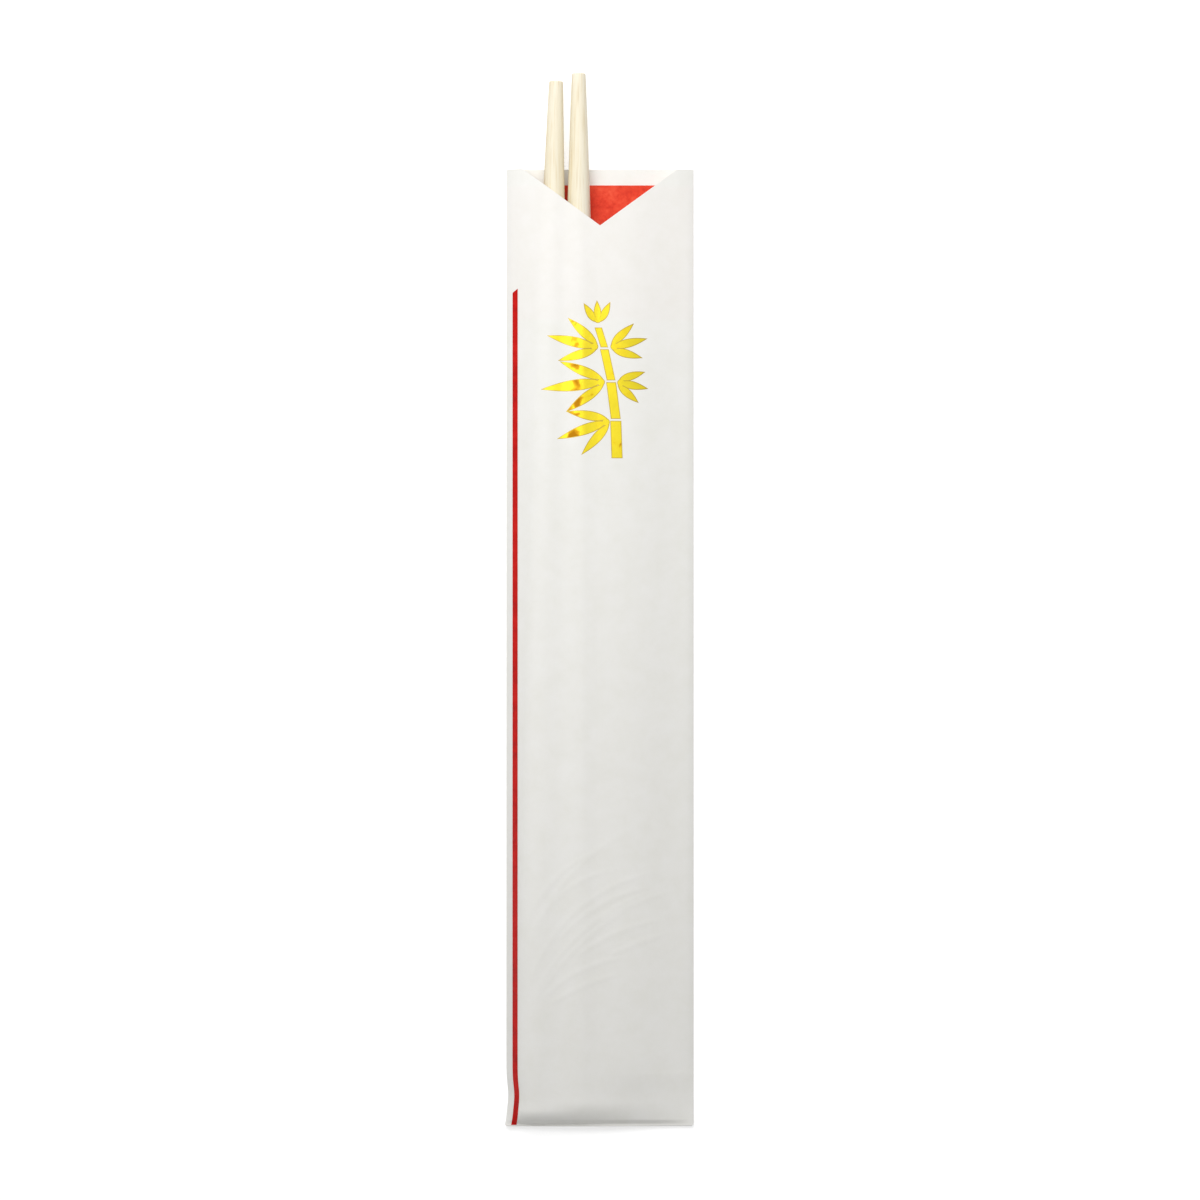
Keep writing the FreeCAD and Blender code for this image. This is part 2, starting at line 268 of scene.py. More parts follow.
def corner_sway(x, y):
    """How far the left side sways near the foot: in where the pair fills the sleeve, out at the corner."""
    up = y - foot
    inward = drawn_in * math.exp(-((up - drawn_in_up) / drawn_in_reach) ** 2)
    outward = spread_out * max(1 - up / spread_out_reach, 0) ** 2
    return (inward - outward) * (1 - ease(x, -20.2 * mm, -16 * mm))


def crest(lie, y):
    """Where the middle of the paper passes over one stick: its place across and its height."""
    foot_end, tip_x, lean = lie
    along = y - foot_end
    x = tip_x - (stick_length - along) * math.tan(lean)
    nearer = max(min(along, stick_length - along), rim_round)
    height = axis_height + stick_radius(nearer) + pair_clearance + sheet / 2
    fall_start = foot_end - fall_gap
    low = foot_crest + foot_lift(x, foot)
    share = min(max((y - foot) / (fall_start - foot), 0), 1)
    return x, low + (height - low) * (1 - (1 - share) ** 2)


def run_over(first, second):
    """Touching points of the straight run of paper over two circles, each given by x, z and radius."""
    across, up = second[0] - first[0], second[1] - first[1]
    turn = math.atan2(up, across) + math.acos((first[2] - second[2]) / math.hypot(across, up))
    return [(x + radius * math.cos(turn), z + radius * math.sin(turn)) for x, z, radius in (first, second)]


def back_height(y):
    """Middle of the back's paper: it steps up a layer over the foot flap, with a little air near the fold."""
    air = 0.015 * mm * (1 - ease(y, foot, foot + 11 * mm))
    return back_z + air + layer * (1 - ease(y, step_start, step_end))


# Blades of grass bowed over by the wind, pressed blind into the front from behind: for each blade its
# root, the way it leaves it and its bow's radius and length
blades = [
    (-18.6, -93.5, 88, 46, 52), (-17.6, -94.5, 80, 38, 50), (-16.2, -95.5, 70, 44, 44),
    (-18.9, -90.0, 97, 30, 44), (-15.2, -94.0, 60, 60, 36), (-18.2, -86.0, 84, 26, 36),
    (-10.0, -80.0, 52, 34, 27), (-6.0, -84.0, 40, 40, 24), (-1.0, -76.0, 34, 52, 20),
    (-13.5, -93.5, 48, 30, 24), (-12.0, -95.0, 36, 44, 20), (2.0, -83.5, 28, 60, 16),
]
blades_foot, blades_top = -96 * mm, -52 * mm
blade_height = 0.055 * mm


def blade_relief(x, y):
    """How far the pressed blades raise the paper at a place."""
    raised = 0
    for root_x, root_y, turn, bow, length in blades:
        turn = math.radians(turn)
        middle_x = root_x * mm + bow * mm * math.sin(turn)
        middle_y = root_y * mm - bow * mm * math.cos(turn)
        off = math.hypot(x - middle_x, y - middle_y) - bow * mm
        if abs(off) > 1.2 * mm:
            continue
        along = (turn + math.pi / 2 - math.atan2(y - middle_y, x - middle_x)) % (2 * math.pi)
        share = along * bow / length
        if share > 1:
            continue
        width = (0.28 + 0.34 * math.sin(math.pi * share)) * mm
        raised = max(raised, ease(share, 0, 0.1) * ease(1 - share, 0, 0.25) * math.exp(-(off / width) ** 2))
    return raised * blade_height


def front_height(circles, runs, x, y):
    """Middle of the front's paper at a place: taut over the pair, slack beside it."""
    height = runs[0][0][1] if x < runs[0][0][0] else runs[-1][1][1]
    for (start_x, start_z), (end_x, end_z) in runs:
        if start_x <= x <= end_x:
            height = start_z + (end_z - start_z) * (x - start_x) / (end_x - start_x)
    for number in (1, 2):
        middle_x, middle_z, radius = circles[number]
        if runs[number - 1][1][0] < x < runs[number][0][0]:
            height = middle_z + math.sqrt(radius ** 2 - (x - middle_x) ** 2)
    left_x, right_x = circles[1][0], circles[2][0]
    free = ease(y, foot + 2 * mm, foot + 16 * mm)
    if left_x < x < right_x:
        height -= valley_sag * free * math.sin(math.pi * (x - left_x) / (right_x - left_x)) ** 2
    if x > right_x:
        share = min((x - right_x) / (slack_edge - right_x), 1)
        height += slack_bulge * free * 0.5 * (1 - math.cos(2 * math.pi * share))
    # The side folds aren't pressed sharp: the front stands up steeply from them, then leans over
    soft_fold = left_soft_fold if x < 0 else right_soft_fold
    edge = fold_x - abs(x)
    near_crest = min(edge / (fold_x + left_x if x < 0 else fold_x - right_x), 1)
    leaning = (1 - near_crest) ** 2 * (1 + 2 * near_crest)
    height += soft_fold * free * (1 - math.exp(-edge / soft_fold_reach)) * leaning
    inside = ease(edge, 0, 4 * mm)
    height += waver * free * inside * (0.5 + noise.noise(Vector((x * 55, y * 14, 0.3))))
    # The corners beside the V spring up a little
    height += (corner_spring * ease(y, mouth - 16 * mm, mouth + 6 * mm)
               * ease(abs(x), 4 * mm, 19 * mm) * inside)
    if blades_foot < y < blades_top:
        height += blade_relief(x, y)
    return height


def sheet_columns():
    """The sheet's columns: for each its panel, and its place across or its share of a fold."""
    columns = [("back", panel_edge - (panel_edge + fold_x) * step / 44) for step in range(45)]
    columns += [("left fold", step / 6) for step in range(1, 6)]
    columns += [("front", place) for place in (-fold_x, -flap_root)]
    columns += [("front", -panel_edge + 2 * panel_edge * step / 94) for step in range(95)]
    columns += [("front", place) for place in (flap_root, fold_x)]
    columns += [("right fold", step / 6) for step in range(1, 7)]
    columns += [("lap", place * mm) for place in (20.95, 19.2, 17.3, 15.4, 13.5)]
    return columns


def sheet_rows():
    """The sheet's rows: the foot flap's and the body's places along, and the foot fold's angles."""
    rows = [("flap", foot + flap_length - (flap_length - foot_fold_middle) * step / 20) for step in range(21)]
    rows += [("foot fold", math.radians(turn)) for turn in (-60, -30, 0, 30, 60)]
    # The body's stretches, each with its start and its rows' step, finest at the foot and over the blades
    stretches = [(foot + foot_fold_middle, 0.2 * mm), (foot + 2.6 * mm, 0.5 * mm), (foot + 9 * mm, 1.1 * mm),
                 (foot + 12.15 * mm, 0.6 * mm), (step_end, 1.5 * mm), (blades_foot, 0.42 * mm),
                 (-54 * mm, 1.6 * mm), (84 * mm, 0.8 * mm), (mouth, 1)]
    for (start, step), (end, _) in zip(stretches, stretches[1:]):
        count = math.ceil((end - start) / step)
        rows += [("body", start + (end - start) * number / count) for number in range(count)]
    return rows + [("body", mouth)]


def section_at(kind, place):
    """The sleeve's section at a row: the back's height, the circles that the paper bends over, its straight
    runs between them, and how flat it is pressed."""
    y = place if kind == "body" else foot + foot_fold_middle
    low = back_height(y)
    high = low + side_fold_rise - 0.05 * mm * (1 - ease(y, step_start, step_end))
    middle, radius = (low + high) / 2, (high - low) / 2
    left_x, left_z = crest(left_lie, y)
    right_x, right_z = crest(right_lie, y)
    bend = bend_radius + sheet / 2
    circles = [(-fold_x, middle + foot_lift(-fold_x, y), radius), (left_x, left_z - bend, bend),
               (right_x, right_z - bend, bend), (fold_x, middle + foot_lift(fold_x, y), radius)]
    runs = [run_over(first, second) for first, second in zip(circles, circles[1:])]
    return low, circles, runs, 1 - ease(y, foot + 0.2 * mm, foot + 1.6 * mm)


def place_at_foot(kind, across, along):
    """Where a point of the foot flap or of its fold comes to lie."""
    if kind == "flap":
        width = flap_root + (flap_end - flap_root) * (along - foot) / flap_length
        x = across * width / flap_root
        return Vector((x, along, back_z + foot_lift(x, along)))
    return Vector((across, foot + foot_fold_middle - foot_fold_radius * math.cos(along),
                   foot_fold_middle + foot_lift(across, foot) + foot_fold_radius * math.sin(along)))


def place_in_body(panel, across, along, section):
    """Where a point of the sleeve's body comes to lie, on one of its panels or side folds."""
    low, circles, runs, flat = section
    y = max(along, foot + 0.4 * mm) if panel in ("back", "lap") else along
    if panel == "back":
        return Vector((across, y, low + foot_lift(across, y)))
    if panel == "lap":
        return Vector((across, y, low + layer + foot_lift(across, y)))
    if panel == "front":
        x = across
        height = front_height(circles, runs, across, y)
        if abs(across) == fold_x:
            x, height = runs[0][0] if across < 0 else runs[-1][1]
        pressed = foot_front + foot_lift(across, y)
        return Vector((x + (across - x) * flat, y, height + (pressed - height) * flat))
    x, z, radius = circles[0] if panel == "left fold" else circles[-1]
    touch = runs[0][0] if panel == "left fold" else runs[-1][1]
    top = math.atan2(touch[1] - z, touch[0] - x)
    top += (math.pi / 2 - top) * flat
    if panel == "left fold":
        turn = 1.5 * math.pi + (top - 1.5 * math.pi) * across
    else:
        turn = top + (-0.5 * math.pi - top) * across
    return Vector((x + radius * math.cos(turn), y, z + radius * math.sin(turn)))


def laid_out_sheet(columns, rows):
    """The flat sheet as a grid, a unit for each column and row, with what the die cuts away at the foot."""
    panels = [panel for panel, place in columns]
    first_front, last_front = panels.index("front"), panels.index("right fold") - 1
    lap_start = panels.index("lap") - 1
    first_body = [kind for kind, place in rows].index("body")
    lap_row = sum(1 for kind, place in rows if kind != "body" or place < foot + lap_above_foot)
    across, along = len(columns) - 1, len(rows) - 1
    bpy.ops.object.select_all(action="DESELECT")
    bpy.ops.mesh.primitive_grid_add(x_subdivisions=across, y_subdivisions=along, size=1,
                                    location=(across / 2, along / 2, 0))
    made = bpy.context.object
    made.scale = (across, along, 1)
    settle_in_place()

    def cut_away(middle, normal):
        if middle.y < first_body:
            return not first_front + 1 < middle.x < last_front - 1
        return middle.y < lap_row and middle.x > lap_start

    bpy.ops.object.mode_set(mode="EDIT")
    pick_faces(cut_away)
    bpy.ops.mesh.delete(type="FACE")
    bpy.ops.object.mode_set(mode="OBJECT")
    return made


def cut_the_v():
    """Cut the V from the front of the folded sleeve, which is the active piece."""
    vertex_y = mouth - notch_depth

    def beside_the_cut(middle, normal):
        in_reach = middle.y > vertex_y - 2 * mm and abs(middle.x) < notch_half + 1.5 * mm
        return in_reach and middle.z > 0.5 * mm

    bpy.ops.object.mode_set(mode="EDIT")
    for side in (-1, 1):
        pick_faces(beside_the_cut)
        across_cut = Vector((side * notch_depth, -notch_half, 0)).normalized()
        bpy.ops.mesh.bisect(plane_co=(0, vertex_y, 0), plane_no=across_cut, threshold=0.001 * mm)
    pick_faces(lambda middle, normal: beside_the_cut(middle, normal)
               and middle.y > vertex_y + abs(middle.x) * notch_depth / notch_half)
    bpy.ops.mesh.delete(type="FACE")
    bpy.ops.object.mode_set(mode="OBJECT")


def folded_sleeve():
    """Lay out the sheet, fold it round the pair, cut its V and give it its thickness."""
    columns, rows = sheet_columns(), sheet_rows()
    sections = [section_at(kind, place) for kind, place in rows]
    made = laid_out_sheet(columns, rows)
    made.name = "folded_paper_sleeve"
    for vertex in made.data.vertices:
        panel, across = columns[round(vertex.co.x)]
        kind, along = rows[round(vertex.co.y)]
        if kind == "body":
            spot = place_in_body(panel, across, along, sections[round(vertex.co.y)])
        else:
            spot = place_at_foot(kind, across, along)
        spot.x += corner_sway(spot.x, spot.y)
        vertex.co = spot
    made.data.update()
    cut_the_v()
    thickness = made.modifiers.new("paper_thickness", "SOLIDIFY")
    thickness.thickness = sheet
    thickness.offset = 0
    thickness.use_even_offset = True
    bpy.ops.object.modifier_apply(modifier=thickness.name)
    smooth_shading(35)
    return made


def paper_grain_group():
    """Shader group for paper: the cloudy look-through of its pulp, and the felt of its fibres."""
    group = bpy.data.node_groups.new("paper_grain", "ShaderNodeTree")
    group.interface.new_socket("Place", in_out="INPUT", socket_type="NodeSocketVector")
    group.interface.new_socket("Clouds", in_out="OUTPUT", socket_type="NodeSocketFloat")
    group.interface.new_socket("Felt", in_out="OUTPUT", socket_type="NodeSocketFloat")
    place = node(group, "NodeGroupInput").outputs["Place"]
    pulp = node(group, "ShaderNodeTexNoise", {"Vector": place, "Scale": 210, "Detail": 4, "Roughness": 0.65})
    drawn = node(group, "ShaderNodeMapping", {"Vector": place, "Rotation": (0, 0, 0.12),
                                              "Scale": (1, 0.3, 1)})
    fibres = node(group, "ShaderNodeTexNoise", {"Vector": drawn.outputs["Vector"], "Scale": 3200, "Detail": 3,
                                                "Roughness": 0.6, "Distortion": 0.6})
    tooth = node(group, "ShaderNodeTexNoise", {"Vector": place, "Scale": 1400, "Detail": 2})
    felt = node(group, "ShaderNodeMath", {0: fibres.outputs["Fac"], 1: tooth.outputs["Fac"]}, operation="ADD")
    node(group, "NodeGroupOutput", {"Clouds": pulp.outputs["Fac"], "Felt": felt.outputs["Value"]})
    return group


def grain_of(tree, group):
    """Put the paper grain in a material: gives its clouds, its felt and the place it reads."""
    place = node(tree, "ShaderNodeTexCoord").outputs["Object"]
    grain = node(tree, "ShaderNodeGroup", node_tree=group)
    tree.links.new(place, grain.inputs["Place"])
    return grain.outputs["Clouds"], grain.outputs["Felt"], place


# The printed field's top end and length, because its red shows through the paper
field_top = mouth - 3.7 * mm
field_length = 32 * mm


def white_paper(group):
    """Thin white uncoated paper, a little warmer where the red printed inside shows through it."""
    made, tree = new_material("white_sleeve_paper")
    clouds, felt, place = grain_of(tree, group)
    white = ramp(tree, clouds, [(0.3, shown(247, 246, 240)), (0.5, shown(249, 248, 243)),
                                (0.72, shown(251, 250, 246))])
    apart = node(tree, "ShaderNodeSeparateXYZ", {"Vector": place})
    from_field = node(tree, "ShaderNodeMath", {0: apart.outputs["Y"], 1: field_top - field_length / 2},
                      operation="SUBTRACT")
    off_field = node(tree, "ShaderNodeMath", {0: from_field.outputs["Value"]}, operation="ABSOLUTE")
    over_field = node(tree, "ShaderNodeMapRange", {"Value": off_field.outputs["Value"],
                                                   "From Min": field_length / 2 - 1 * mm,
                                                   "From Max": field_length / 2 + 0.4 * mm,
                                                   "To Min": 0.12, "To Max": 0},
                      interpolation_type="SMOOTHSTEP")
    tinted = node(tree, "ShaderNodeMix", {"Factor": over_field.outputs["Result"], "A": white,
                                          "B": shown(252, 238, 234)}, data_type="RGBA")
    rough = node(tree, "ShaderNodeMapRange", {"Value": clouds, "From Min": 0.3, "From Max": 0.7,
                                              "To Min": 0.7, "To Max": 0.58}).outputs["Result"]
    bump = node(tree, "ShaderNodeBump", {"Height": felt, "Strength": 0.25, "Distance": 0.02 * mm})
    finish_surface(tree, {"Base Color": tinted.outputs["Result"], "Roughness": rough,
                          "Normal": bump.outputs["Normal"], "Specular IOR Level": 0.3})
    return made


grain_group = paper_grain_group()
sleeve = folded_sleeve()
sleeve.data.materials.append(white_paper(grain_group))
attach(sleeve, "root")
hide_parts("paper_sleeve")


# The red field. It is bright red ink printed solid on what becomes the inside of the back, in one press
# run with the rest, before the sheet is folded. It shows through the V beside the sticks.
field_left, field_right = -20.6 * mm, 13.5 * mm
field_film = 0.03 * mm
ink_edge = 0.04 * mm
hair = 0.01 * mm


def red_ink(name, group, dark, mid, light, roughness):
    """Red ink on paper, mottled as it sinks into the pulp."""
    made, tree = new_material(name)
    clouds, felt, place = grain_of(tree, group)
    mottle = node(tree, "ShaderNodeTexNoise", {"Vector": place, "Scale": 620, "Detail": 4, "Roughness": 0.7})
    spread = node(tree, "ShaderNodeMath", {0: clouds, 1: mottle.outputs["Fac"]}, operation="ADD")
    half = node(tree, "ShaderNodeMath", {0: spread.outputs["Value"], 1: 0.5}, operation="MULTIPLY")
    colour = ramp(tree, half.outputs["Value"], [(0.36, dark), (0.5, mid), (0.64, light)])
    bump = node(tree, "ShaderNodeBump", {"Height": felt, "Strength": 0.3, "Distance": 0.02 * mm})
    rough = node(tree, "ShaderNodeMapRange", {"Value": mottle.outputs["Fac"], "From Min": 0.3,
                                              "From Max": 0.7, "To Min": roughness - 0.08,
                                              "To Max": roughness + 0.08})
    finish_surface(tree, {"Base Color": colour, "Roughness": rough.outputs["Result"],
                          "Normal": bump.outputs["Normal"], "Specular IOR Level": 0.12})
    return made


def ink_film(piece, ink):
    """Give a flat piece of print, which is the active one, its film's thickness."""
    film = piece.modifiers.new("film", "SOLIDIFY")
    film.thickness = ink
    film.offset = 1
    bpy.ops.object.modifier_apply(modifier=film.name)


bpy.ops.object.select_all(action="DESELECT")
bpy.ops.mesh.primitive_grid_add(x_subdivisions=68, y_subdivisions=64, size=1,
                                location=((field_left + field_right) / 2, field_top - field_length / 2,
                                          layer + hair))
field = bpy.context.object
field.name = "printed_red_field"
field.scale = (field_right - field_left, field_length, 1)
settle_in_place()
# The ink's edge isn't knife-sharp: it wanders by a few hundredths where it soaks in
for vertex in field.data.vertices:
    at = vertex.co
    if abs(at.y - field_top) < hair or abs(at.x - field_right) < hair:
        vertex.co.y += noise.noise(Vector((at.x * 1500, at.y * 1500, 0))) * ink_edge
ink_film(field, field_film)
smooth_shading(35)
field.data.materials.append(red_ink("bright_red_print", grain_group, shown(214, 52, 30), shown(236, 72, 46),
                                    shown(246, 96, 66), 0.5))
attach(field, "root")
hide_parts("red_field")


# The red stripe. It is a deep red line printed on the front along the left fold, in the same press run,
# with its top end cut on a slant. It runs down to the fold at the foot.
stripe_left, stripe_right = -20.5 * mm, -19.3 * mm
stripe_top = mouth - 29 * mm
stripe_slant = 0.95 * mm
stripe_foot = foot + 0.3 * mm
stripe_film = 0.02 * mm
above_sleeve = 20 * mm


def printed_on(piece, paper_piece, ink, clear):
    """Lay a flat piece of print down on the paper, a hair clear of it, and give it a film's thickness."""
    bpy.context.view_layer.objects.active = piece
    lay = piece.modifiers.new("lay_on_paper", "SHRINKWRAP")
    lay.target = paper_piece
    lay.wrap_method = "PROJECT"
    lay.use_project_z = True
    lay.use_negative_direction = True
    lay.use_positive_direction = False
    lay.offset = clear
    bpy.ops.object.modifier_apply(modifier=lay.name)
    ink_film(piece, ink)


bpy.ops.object.select_all(action="DESELECT")
bpy.ops.mesh.primitive_grid_add(x_subdivisions=4, y_subdivisions=820, size=1,
                                location=((stripe_left + stripe_right) / 2, (stripe_top + stripe_foot) / 2,
                                          above_sleeve))
stripe = bpy.context.object
stripe.name = "printed_red_stripe"
stripe.scale = (stripe_right - stripe_left, stripe_top - stripe_foot, 1)
settle_in_place()
for vertex in stripe.data.vertices:
    share = (vertex.co.x - stripe_left) / (stripe_right - stripe_left)
    if vertex.co.y > stripe_top - hair:
        vertex.co.y += stripe_slant * share
    vertex.co.x += corner_sway(vertex.co.x, vertex.co.y)
printed_on(stripe, sleeve, stripe_film, 3 * hair)
smooth_shading(35)
stripe.data.materials.append(red_ink("deep_red_print", grain_group, shown(176, 12, 8), shown(203, 20, 14),
                                     shown(214, 30, 24), 0.42))
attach(stripe, "root")
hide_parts("red_stripe")


# The gold sprig. It is a sprig of bamboo, a jointed stem with leaves in threes, hot-stamped on the front in
# bright metal foil. The foil lies on the paper in separate islands and follows it over both sticks. Each
# island has a darker, duller rim.
sprig_height = 37.6 * mm
sprig_foot = mouth - 49.3 * mm - sprig_height / 2
sprig_middle = -1.2 * mm
stem_width = 2.6 * mm
joint_gap = 0.45 * mm
leaf_width = 2.4 * mm
bud_radius, bud_reach = 0.93 * mm, 1.75 * mm
leaf_reach = 1.2 * mm
foil = 0.012 * mm
rim_width = 0.17 * mm
strip_width = 0.45 * mm
first_row, row_height = 32 * mm, 1.6 * mm
stem_joints = [(0.138, 0.0), (0.130, 0.245), (0.101, 0.485), (0.059, 0.69), (0.021, 0.825)]
# Bunches of leaves: the joint, the side of the stem, the direction, and the middle leaf's length
bunches = [(1, -1, 199, 0.345), (2, -1, 187, 0.400), (2, 1, -12, 0.195),
           (3, -1, 167, 0.325), (3, 1, 14, 0.235), (4, 0, 93, 0.140)]


def foil_leaf(base, direction, length, trim):
    """One leaf as an upright prism: slender in its body, drawn out to a point."""
    along = Vector((math.cos(math.radians(direction)), math.sin(math.radians(direction)), 0))
    across = Vector((-along.y, along.x, 0))
    belly = across * (leaf_width * (0.35 + length / sprig_height) - 1.33 * trim)
    start = base + along * (leaf_reach + 2 * trim)
    length -= 0.3 * mm + 5 * trim
    bpy.ops.curve.primitive_bezier_curve_add()
    outline = bpy.context.object
    outline.data.dimensions = "2D"
    outline.data.fill_mode = "BOTH"
    outline.data.resolution_u = 20
    outline.data.extrude = 1 * mm
    edge = outline.data.splines[0]
    edge.use_cyclic_u = True
    root, tip = edge.bezier_points
    for point in (root, tip):
        point.handle_left_type = "FREE"
        point.handle_right_type = "FREE"
    root.co, tip.co = start, start + along * length
    root.handle_right = start + along * 0.22 * length + belly
    tip.handle_left = start + along * 0.55 * length + belly
    tip.handle_right = start + along * 0.55 * length - belly
    root.handle_left = start + along * 0.22 * length - belly
    bpy.ops.object.convert(target="MESH")
    made = bpy.context.object
    bpy.ops.object.mode_set(mode="EDIT")
    bpy.ops.mesh.select_all(action="SELECT")
    bpy.ops.mesh.remove_doubles(threshold=0.002 * mm)
    bpy.ops.mesh.normals_make_consistent(inside=False)
    bpy.ops.object.mode_set(mode="OBJECT")
    return made


def foil_bud(base, direction, trim):
    """The round bud that a bunch of leaves grows from, as an upright prism."""
    turn = math.radians(direction)
    bpy.ops.mesh.primitive_cylinder_add(vertices=40, radius=bud_radius - trim, depth=2 * mm, location=(
        base.x + bud_reach * math.cos(turn), base.y + bud_reach * math.sin(turn), 0))
    settle_in_place()
    return bpy.context.object


def foil_stem(low, high, half, trim):
    """One length of the stem between two joints, as an upright prism."""
    bpy.ops.mesh.primitive_cube_add(size=1, location=(0, 0, 0))
    made = bpy.context.object
    made.scale = (2 * (half - trim), 1, 2 * mm)
    settle_in_place()
    for vertex in made.data.vertices:
        end, inward = (low, 1) if vertex.co.y < 0 else (high, -1)
        vertex.co = Vector((end.x + vertex.co.x, end.y + inward * (joint_gap / 2 + trim), vertex.co.z))
    return made


def gold_islands(trim, clear, rim):
    """Join stems and leaves into flat islands, lay them on the front and give them a film's thickness."""
    joints = [Vector((sprig_middle + across * sprig_height, sprig_foot + up * sprig_height, 0))
              for across, up in stem_joints]
    bpy.ops.object.select_all(action="DESELECT")
    shapes = [foil_stem(low, high, stem_width / 2 * (1 - 0.11 * number), trim)
              for number, (low, high) in enumerate(zip(joints, joints[1:]))]
    for joint, side, direction, share in bunches:
        base = joints[joint] + Vector((side * stem_width / 4, 0, 0))
        length = share * sprig_height
        outer = 0.6 * length + leaf_width
        shapes.append(foil_bud(base, direction, trim))
        shapes.append(foil_leaf(base, direction, length, trim))
        shapes.append(foil_leaf(base, direction - 29, outer, trim))
        shapes.append(foil_leaf(base, direction + 29, outer, trim))
    sprig = shapes[0]
    bpy.context.view_layer.objects.active = sprig
    for shape in shapes[1:]:
        join = sprig.modifiers.new("join", "BOOLEAN")
        join.operation = "UNION"
        join.solver = "EXACT"
        join.object = shape
        bpy.ops.object.modifier_apply(modifier=join.name)
    for shape in shapes[1:]:
        bpy.data.objects.remove(shape)
    sprig.select_set(True)
    bpy.ops.object.mode_set(mode="EDIT")
    pick_faces(lambda middle, normal: normal.z < 0.9)
    bpy.ops.mesh.delete(type="FACE")
    bpy.ops.mesh.select_all(action="SELECT")
    bpy.ops.mesh.remove_doubles(threshold=0.005 * mm)
    bpy.ops.mesh.dissolve_limited(angle_limit=math.radians(1))
    # Cut the flat islands into strips and rows, so that they can bend with the paper
    for step in range(-33, 29):
        bpy.ops.mesh.select_all(action="SELECT")
        bpy.ops.mesh.bisect(plane_co=(step * strip_width, 0, 0), plane_no=(1, 0, 0), threshold=0.001 * mm)
    for step in range(26):
        bpy.ops.mesh.select_all(action="SELECT")
        bpy.ops.mesh.bisect(plane_co=(0, first_row + step * row_height, 0), plane_no=(0, 1, 0),
                            threshold=0.001 * mm)
    bpy.ops.mesh.select_all(action="SELECT")
    bpy.ops.transform.translate(value=(0, 0, above_sleeve))
    bpy.ops.object.mode_set(mode="OBJECT")
    printed_on(sprig, sleeve, foil, clear)
    smooth_shading(35)
    duller = sprig.data.attributes.new("rim", "FLOAT", "POINT")
    for mark in duller.data:
        mark.value = rim
    return sprig


def stamped_gold():
    """Bright yellow metal foil with fine creases, browner in patches, duller at its rim, with a painted brown
    reflection in a band between the sticks and painted brightness beside it.
    """
    made, tree = new_material("stamped_gold_foil")
    place = node(tree, "ShaderNodeTexCoord").outputs["Object"]
    patches = node(tree, "ShaderNodeTexNoise", {"Vector": place, "Scale": 230, "Detail": 3, "Roughness": 0.5,
                                                "Distortion": 0.6})
    apart = node(tree, "ShaderNodeSeparateXYZ", {"Vector": place})
    # Painted reflection: a band between the sticks, near the right one, is pushed towards brown, and the foil
    # beside it a little brighter
    from_reflection_band = node(tree, "ShaderNodeMath", {0: apart.outputs["X"], 1: 6.4 * mm}, operation="ADD")
    off_reflection_band = node(tree, "ShaderNodeMath", {0: from_reflection_band.outputs["Value"]}, operation="ABSOLUTE")
    painted_reflection_band = node(tree, "ShaderNodeMapRange", {"Value": off_reflection_band.outputs["Value"], "From Min": 0.8 * mm,
                                               "From Max": 3 * mm, "To Min": 0.15, "To Max": -0.08},
                  interpolation_type="SMOOTHSTEP")
    patch_and_reflection_tone = node(tree, "ShaderNodeMath", {0: patches.outputs["Fac"], 1: painted_reflection_band.outputs["Result"]},
                operation="ADD")
    gold = ramp(tree, patch_and_reflection_tone.outputs["Value"], [
        (0.46, shown(213, 194, 46)), (0.59, shown(209, 186, 40)), (0.66, shown(176, 130, 24)),
        (0.76, shown(146, 98, 14))])
    rim = node(tree, "ShaderNodeAttribute", attribute_name="rim").outputs["Fac"]
    rimmed = node(tree, "ShaderNodeMix", {"Factor": rim, "A": gold, "B": shown(176, 152, 62)},
                  data_type="RGBA")
    creases = node(tree, "ShaderNodeTexNoise", {"Vector": place, "Scale": 900, "Detail": 5,
                                                "Roughness": 0.65})
    bump = node(tree, "ShaderNodeBump", {"Height": creases.outputs["Fac"], "Strength": 0.35,
                                         "Distance": 0.05 * mm})
    rough = node(tree, "ShaderNodeMapRange", {"Value": patches.outputs["Fac"], "From Min": 0.3,
                                              "From Max": 0.7, "To Min": 0.3, "To Max": 0.44})
    finish_surface(tree, {"Base Color": rimmed.outputs["Result"], "Metallic": 1.0,
                          "Roughness": rough.outputs["Result"], "Normal": bump.outputs["Normal"]})
    return made


sprig = gold_islands(0, hair, 1)
bright_foil = gold_islands(rim_width, 3 * hair, 0)
bpy.ops.object.select_all(action="DESELECT")
bright_foil.select_set(True)
sprig.select_set(True)
bpy.context.view_layer.objects.active = sprig
bpy.ops.object.join()
sprig.name = "gold_foil_sprig"
sprig.data.materials.append(stamped_gold())
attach(sprig, "root")
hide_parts("gold_sprig")


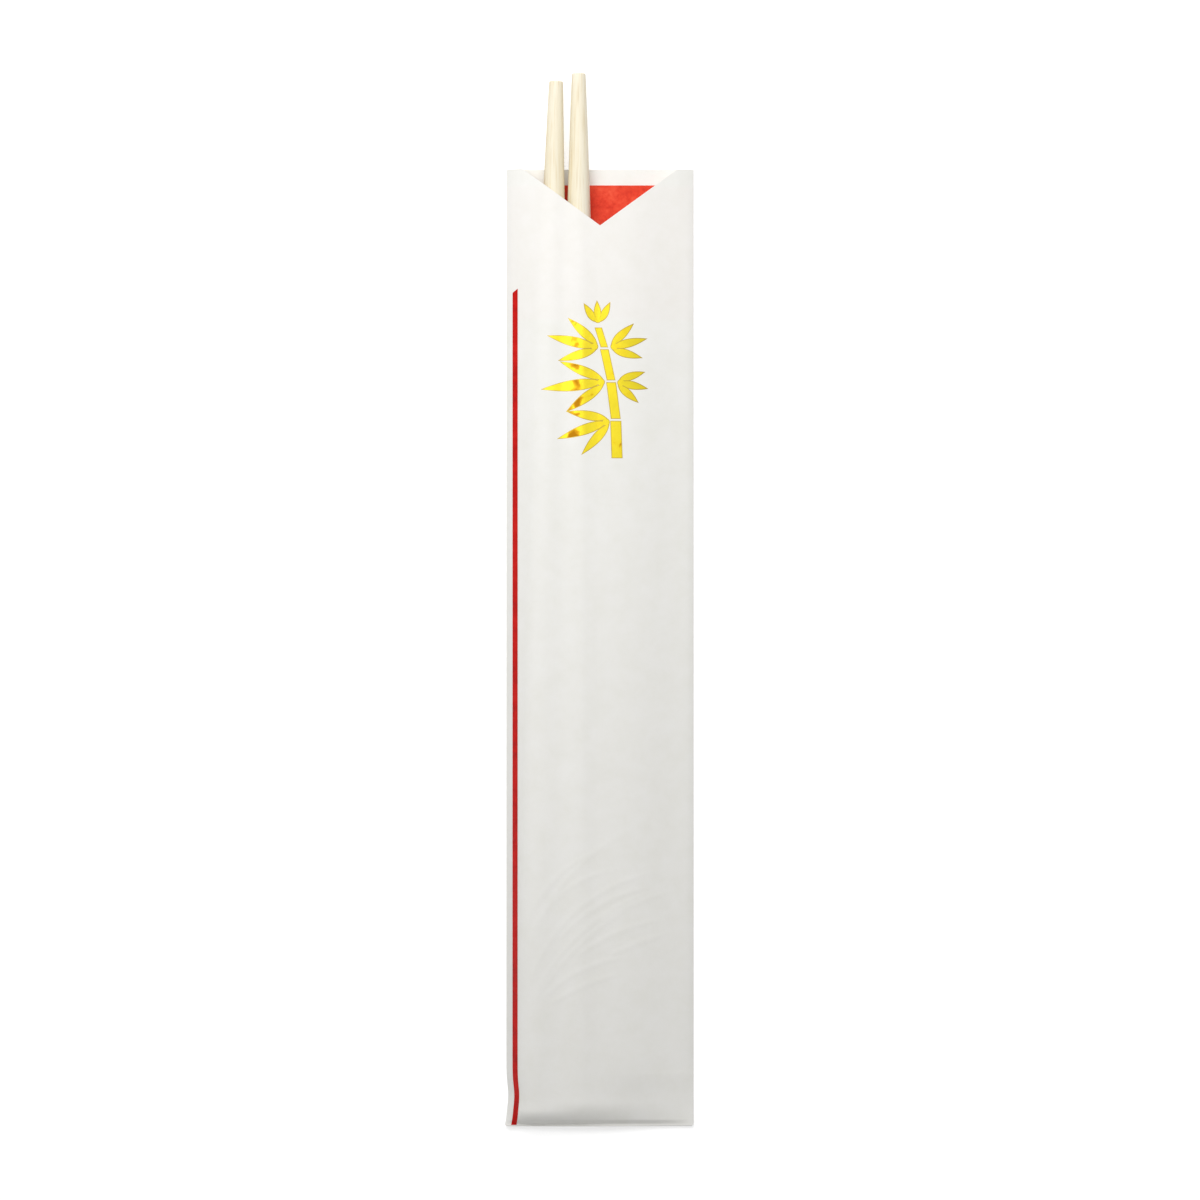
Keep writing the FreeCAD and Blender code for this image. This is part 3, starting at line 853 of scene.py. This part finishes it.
# The studio. A pale table under one soft lamp beyond the sleeve's mouth, with plain light all round.
# The camera hangs straight above the object, far enough that its lens sees all of it alike.
bpy.ops.object.select_all(action="DESELECT")
bpy.ops.mesh.primitive_plane_add(size=6, location=(0, 0, -0.01 * mm))
table = bpy.context.object
table.name = "studio_table"
settle_in_place()
table_finish, table_tree = new_material("pale_table")
seen = node(table_tree, "ShaderNodeLightPath")
seen_by_eye = node(table_tree, "ShaderNodeMath", {0: seen.outputs["Is Camera Ray"],
                                                  1: seen.outputs["Is Glossy Ray"]},
                   operation="MAXIMUM").outputs["Value"]
finish_surface(table_tree, {"Base Color": (0.88, 0.88, 0.88, 1), "Roughness": 0.9, "Specular IOR Level": 0.1,
                            "Emission Color": seen_by_eye, "Emission Strength": 0.5})
table.data.materials.append(table_finish)

lamp = bpy.data.objects.new("soft_lamp", bpy.data.lights.new("soft_lamp", "AREA"))
bpy.context.scene.collection.objects.link(lamp)
lamp.data.shape = "DISK"
lamp.data.size = 0.5
lamp.data.energy = 1.7
lamp.location = (-0.07, 0.26, 0.38)
lamp.rotation_euler = (Vector((0, 0.02, 0)) - lamp.location).to_track_quat("-Z", "Y").to_euler()

sky = bpy.data.worlds.new("studio_light")
bpy.context.scene.world = sky
sky.use_nodes = True
sky.node_tree.nodes.clear()
sky_path = node(sky.node_tree, "ShaderNodeLightPath")
sky_seen = node(sky.node_tree, "ShaderNodeMath", {0: sky_path.outputs["Is Camera Ray"],
                                                  1: sky_path.outputs["Is Glossy Ray"]}, operation="MAXIMUM")
sky_level = node(sky.node_tree, "ShaderNodeMapRange", {"Value": sky_seen.outputs["Value"], "From Min": 0,
                                                       "From Max": 1, "To Min": 0.36, "To Max": 1})
sky_light = node(sky.node_tree, "ShaderNodeBackground", {"Color": (1, 1, 1, 1),
                                                         "Strength": sky_level.outputs["Result"]})
node(sky.node_tree, "ShaderNodeOutputWorld", {"Surface": sky_light.outputs["Background"]})

photo_span = 281.3 * mm
camera_height = 1.6
object_middle = 3 * mm
film_width = 36
camera = bpy.data.objects.new("camera_above", bpy.data.cameras.new("camera_above"))
bpy.context.scene.collection.objects.link(camera)
camera.location = (0, 0, camera_height)
camera.rotation_euler = (0, 0, 0)
camera.data.sensor_width = film_width
camera.data.lens = film_width * (camera_height - object_middle) / photo_span
camera.data.clip_end = 20
bpy.context.scene.camera = camera
bpy.context.scene.view_settings.view_transform = "Standard"
